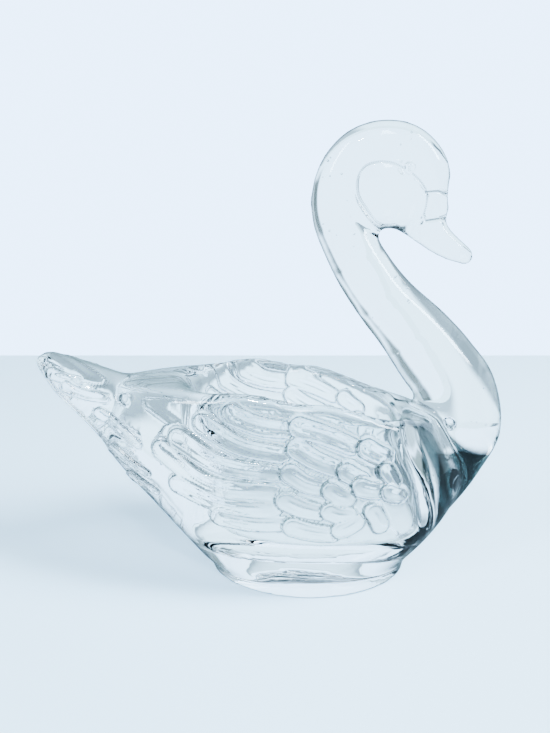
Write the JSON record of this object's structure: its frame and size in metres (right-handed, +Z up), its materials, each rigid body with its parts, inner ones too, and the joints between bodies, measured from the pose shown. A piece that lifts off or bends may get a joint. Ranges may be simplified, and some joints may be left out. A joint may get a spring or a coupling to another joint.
{
  "type": "open-backed glass swan dish",
  "caption": "Clear pressed-glass swan with carved wings, a hollow open back, a solid bent neck and an oval foot to stand on.",
  "frame": {"origin": "centre of the flat ground underside of the foot, on the surface that the swan stands on", "axes": "+X towards the swan's breast and bill, +Y to its left side, +Z up"},
  "size_m": [0.1476, 0.07, 0.1398],
  "materials": {
    "clear_glass": "clear fire-polished pressed glass with a faint blue-green cast"
  },
  "bodies": {
    "root": {"glass_swan": "clear_glass"}
  },
  "joints": []
}
